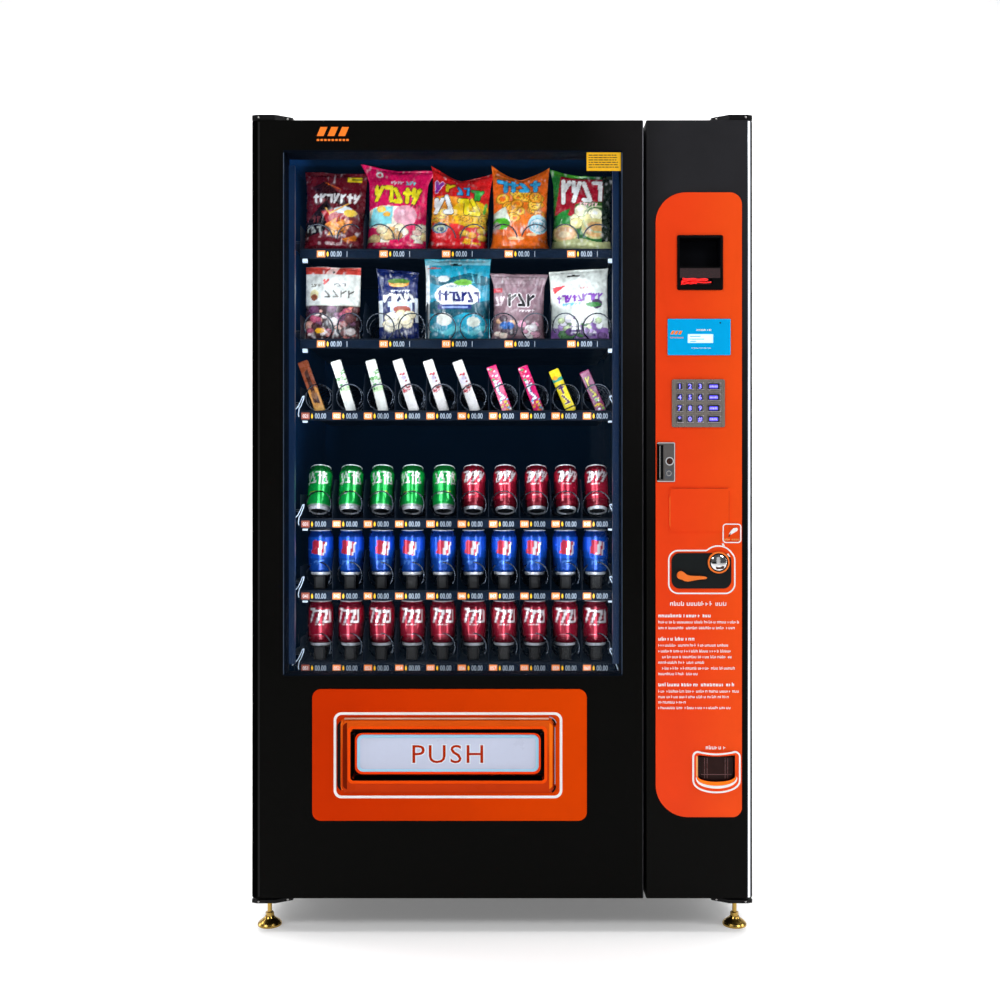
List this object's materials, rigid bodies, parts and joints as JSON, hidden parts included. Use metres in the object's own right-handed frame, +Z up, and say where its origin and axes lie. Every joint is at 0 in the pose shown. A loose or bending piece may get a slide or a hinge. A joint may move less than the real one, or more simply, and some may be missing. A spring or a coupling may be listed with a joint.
{
  "type": "glass-front snack vending machine",
  "caption": "Free-standing vending machine with a glass door over spiral trays, a delivery flap and a narrow control door with keypad, bill slot and coin return.",
  "frame": {"origin": "middle of the footprint on the floor, under the levelling feet", "axes": "+X to the right seen from the front, +Y from the front to the back, +Z up; the front faces -Y"},
  "size_m": [1.17, 0.79, 1.91],
  "materials": {
    "cabinet_black": "satin powder coat",
    "rear_grey": "matt powder coat",
    "liner_navy": "satin",
    "hinge_steel": "satin black",
    "foot_brass": "satin yellow plated",
    "zinc_steel": "zinc plated",
    "unit_steel": "matt",
    "fan_aluminium": "pressed",
    "evaporator_aluminium": "satin",
    "door_black": "semi-gloss",
    "pane_glass": "clear, faint blue",
    "trim_aluminium": "anodised",
    "lamp_tube": "opal lamp tube",
    "gasket_rubber": "matt",
    "panel_orange": "satin",
    "bezel_orange": "gloss",
    "bin_dark": "matt",
    "flap_grey": "satin",
    "control_black": "satin",
    "fascia_orange": "satin",
    "validator_dark": "gloss",
    "display_blue": "gloss, lit",
    "keypad_steel": "brushed",
    "lock_steel": "brushed",
    "lock_chrome": "polished",
    "coin_black": "gloss",
    "lever_orange": "gloss",
    "mech_black": "matt",
    "cup_dark": "gloss",
    "cup_smoke": "smoked",
    "key_metal": "satin, blue-lit symbol",
    "tray_slate": "satin",
    "spiral_wire": "bright zinc wire"
  },
  "bodies": {
    "cabinet": {"cabinet_shell": "cabinet_black", "rear_panel": "rear_grey", "food_liner": "liner_navy", "hinge_brackets": "hinge_steel", "levelling_feet": "foot_brass", "tray_rails": "zinc_steel", "refrigeration_unit": "unit_steel", "evaporator_unit": "evaporator_aluminium"},
    "condenser_fan": {"condenser_fan": "fan_aluminium"},
    "glass_door": {"glass_door_frame": "door_black", "window_glass": "pane_glass", "window_trim": "trim_aluminium", "lamp_strips": "lamp_tube", "door_gasket": "gasket_rubber", "lower_panel": "panel_orange", "delivery_bezel": "bezel_orange", "delivery_bin": "bin_dark"},
    "delivery_flap": {"delivery_flap": "flap_grey"},
    "control_door": {"control_door_panel": "control_black", "control_fascia": "fascia_orange", "bill_validator": "validator_dark", "display_module": "display_blue", "keypad_plate": "keypad_steel", "lock_plate": "lock_steel", "blank_cover": "fascia_orange", "coin_plate": "coin_black", "coin_mech": "mech_black", "coin_cup": "cup_dark"},
    "lock_cylinder": {"lock_cylinder": "lock_chrome"},
    "coin_lever": {"coin_lever": "lever_orange"},
    "coin_cup_flap": {"coin_cup_flap": "cup_smoke"},
    "key_1": {"key_1": "key_metal"},
    "key_2": {"key_2": "key_metal"},
    "key_3": {"key_3": "key_metal"},
    "key_4": {"key_4": "key_metal"},
    "key_5": {"key_5": "key_metal"},
    "key_6": {"key_6": "key_metal"},
    "key_7": {"key_7": "key_metal"},
    "key_8": {"key_8": "key_metal"},
    "key_9": {"key_9": "key_metal"},
    "key_10": {"key_10": "key_metal"},
    "key_11": {"key_11": "key_metal"},
    "key_12": {"key_12": "key_metal"},
    "key_13": {"key_13": "key_metal"},
    "key_14": {"key_14": "key_metal"},
    "key_15": {"key_15": "key_metal"},
    "key_16": {"key_16": "key_metal"},
    "tray_1": {"tray_1": "tray_slate"},
    "tray_2": {"tray_2": "tray_slate"},
    "tray_3": {"tray_3": "tray_slate"},
    "tray_4": {"tray_4": "tray_slate"},
    "tray_5": {"tray_5": "tray_slate"},
    "tray_6": {"tray_6": "tray_slate"},
    "spiral_1_left": {"spiral_1_left": "spiral_wire"},
    "spiral_1_right": {"spiral_1_right": "spiral_wire"},
    "spiral_2": {"spiral_2": "spiral_wire"},
    "spiral_3": {"spiral_3": "spiral_wire"},
    "spiral_4": {"spiral_4": "spiral_wire"},
    "spiral_5": {"spiral_5": "spiral_wire"},
    "spiral_6": {"spiral_6": "spiral_wire"}
  },
  "joints": [
    {"name": "glass_door_swing", "type": "hinge", "parent": "cabinet", "child": "glass_door", "pos_m": [-0.5645, -0.35, 0.08], "axis": [0, 0, -1], "range_deg": [0, 110]},
    {"name": "control_door_swing", "type": "hinge", "parent": "cabinet", "child": "control_door", "pos_m": [0.5645, -0.35, 0.08], "axis": [0, 0, 1], "range_deg": [0, 110]},
    {"name": "delivery_flap_swing", "type": "hinge", "parent": "glass_door", "child": "delivery_flap", "pos_m": [-0.127, -0.368, 0.463], "axis": [1, 0, 0], "range_deg": [0, 65]},
    {"name": "coin_cup_flap_swing", "type": "hinge", "parent": "control_door", "child": "coin_cup_flap", "pos_m": [0.5, -0.373, 0.408], "axis": [1, 0, 0], "range_deg": [0, 38]},
    {"name": "coin_lever_turn", "type": "hinge", "parent": "control_door", "child": "coin_lever", "pos_m": [0.4152, -0.39, 0.8333], "axis": [0, 1, 0], "range_deg": [0, 18], "stiffness_Nm_per_rad": 0.06, "springref_deg": -20.05},
    {"name": "lock_turn", "type": "hinge", "parent": "control_door", "child": "lock_cylinder", "pos_m": [0.389, -0.35, 1.098], "axis": [0, 1, 0], "range_deg": [0, 90]},
    {"name": "condenser_fan_spin", "type": "hinge", "parent": "cabinet", "child": "condenser_fan", "pos_m": [-0.32, 0.24, 0.175], "axis": [0, 1, 0], "continuous": true},
    {"name": "key_1_press", "type": "slide", "parent": "control_door", "child": "key_1", "axis": [0, 1, 0], "range_m": [0, 0.0015], "stiffness_N_per_m": 300, "springref_m": -0.001},
    {"name": "key_2_press", "type": "slide", "parent": "control_door", "child": "key_2", "axis": [0, 1, 0], "range_m": [0, 0.0015], "stiffness_N_per_m": 300, "springref_m": -0.001},
    {"name": "key_3_press", "type": "slide", "parent": "control_door", "child": "key_3", "axis": [0, 1, 0], "range_m": [0, 0.0015], "stiffness_N_per_m": 300, "springref_m": -0.001},
    {"name": "key_4_press", "type": "slide", "parent": "control_door", "child": "key_4", "axis": [0, 1, 0], "range_m": [0, 0.0015], "stiffness_N_per_m": 300, "springref_m": -0.001},
    {"name": "key_5_press", "type": "slide", "parent": "control_door", "child": "key_5", "axis": [0, 1, 0], "range_m": [0, 0.0015], "stiffness_N_per_m": 300, "springref_m": -0.001},
    {"name": "key_6_press", "type": "slide", "parent": "control_door", "child": "key_6", "axis": [0, 1, 0], "range_m": [0, 0.0015], "stiffness_N_per_m": 300, "springref_m": -0.001},
    {"name": "key_7_press", "type": "slide", "parent": "control_door", "child": "key_7", "axis": [0, 1, 0], "range_m": [0, 0.0015], "stiffness_N_per_m": 300, "springref_m": -0.001},
    {"name": "key_8_press", "type": "slide", "parent": "control_door", "child": "key_8", "axis": [0, 1, 0], "range_m": [0, 0.0015], "stiffness_N_per_m": 300, "springref_m": -0.001},
    {"name": "key_9_press", "type": "slide", "parent": "control_door", "child": "key_9", "axis": [0, 1, 0], "range_m": [0, 0.0015], "stiffness_N_per_m": 300, "springref_m": -0.001},
    {"name": "key_10_press", "type": "slide", "parent": "control_door", "child": "key_10", "axis": [0, 1, 0], "range_m": [0, 0.0015], "stiffness_N_per_m": 300, "springref_m": -0.001},
    {"name": "key_11_press", "type": "slide", "parent": "control_door", "child": "key_11", "axis": [0, 1, 0], "range_m": [0, 0.0015], "stiffness_N_per_m": 300, "springref_m": -0.001},
    {"name": "key_12_press", "type": "slide", "parent": "control_door", "child": "key_12", "axis": [0, 1, 0], "range_m": [0, 0.0015], "stiffness_N_per_m": 300, "springref_m": -0.001},
    {"name": "key_13_press", "type": "slide", "parent": "control_door", "child": "key_13", "axis": [0, 1, 0], "range_m": [0, 0.0015], "stiffness_N_per_m": 300, "springref_m": -0.001},
    {"name": "key_14_press", "type": "slide", "parent": "control_door", "child": "key_14", "axis": [0, 1, 0], "range_m": [0, 0.0015], "stiffness_N_per_m": 300, "springref_m": -0.001},
    {"name": "key_15_press", "type": "slide", "parent": "control_door", "child": "key_15", "axis": [0, 1, 0], "range_m": [0, 0.0015], "stiffness_N_per_m": 300, "springref_m": -0.001},
    {"name": "key_16_press", "type": "slide", "parent": "control_door", "child": "key_16", "axis": [0, 1, 0], "range_m": [0, 0.0015], "stiffness_N_per_m": 300, "springref_m": -0.001},
    {"name": "tray_1_slide", "type": "slide", "parent": "cabinet", "child": "tray_1", "axis": [0, -1, 0], "range_m": [0, 0.09]},
    {"name": "tray_2_slide", "type": "slide", "parent": "cabinet", "child": "tray_2", "axis": [0, -1, 0], "range_m": [0, 0.09]},
    {"name": "tray_3_slide", "type": "slide", "parent": "cabinet", "child": "tray_3", "axis": [0, -1, 0], "range_m": [0, 0.09]},
    {"name": "tray_4_slide", "type": "slide", "parent": "cabinet", "child": "tray_4", "axis": [0, -1, 0], "range_m": [0, 0.09]},
    {"name": "tray_5_slide", "type": "slide", "parent": "cabinet", "child": "tray_5", "axis": [0, -1, 0], "range_m": [0, 0.09]},
    {"name": "tray_6_slide", "type": "slide", "parent": "cabinet", "child": "tray_6", "axis": [0, -1, 0], "range_m": [0, 0.09]},
    {"name": "spiral_1_left_spin", "type": "hinge", "parent": "tray_1", "child": "spiral_1_left", "pos_m": [-0.464, 0, 1.672], "axis": [0, 1, 0], "continuous": true},
    {"name": "spiral_1_right_spin", "type": "hinge", "parent": "tray_1", "child": "spiral_1_right", "pos_m": [-0.3858, 0, 1.672], "axis": [0, 1, 0], "continuous": true},
    {"name": "spiral_2_spin", "type": "hinge", "parent": "tray_2", "child": "spiral_2", "pos_m": [-0.464, 0, 1.447], "axis": [0, 1, 0], "continuous": true},
    {"name": "spiral_3_spin", "type": "hinge", "parent": "tray_3", "child": "spiral_3", "pos_m": [-0.464, 0, 1.267], "axis": [0, 1, 0], "continuous": true},
    {"name": "spiral_4_spin", "type": "hinge", "parent": "tray_4", "child": "spiral_4", "pos_m": [-0.464, 0, 0.997], "axis": [0, 1, 0], "continuous": true},
    {"name": "spiral_5_spin", "type": "hinge", "parent": "tray_5", "child": "spiral_5", "pos_m": [-0.464, 0, 0.817], "axis": [0, 1, 0], "continuous": true},
    {"name": "spiral_6_spin", "type": "hinge", "parent": "tray_6", "child": "spiral_6", "pos_m": [-0.464, 0, 0.637], "axis": [0, 1, 0], "continuous": true}
  ],
  "couplings": [
    {"joint": "spiral_1_right_spin", "follows": "spiral_1_left_spin", "ratio": -1}
  ]
}
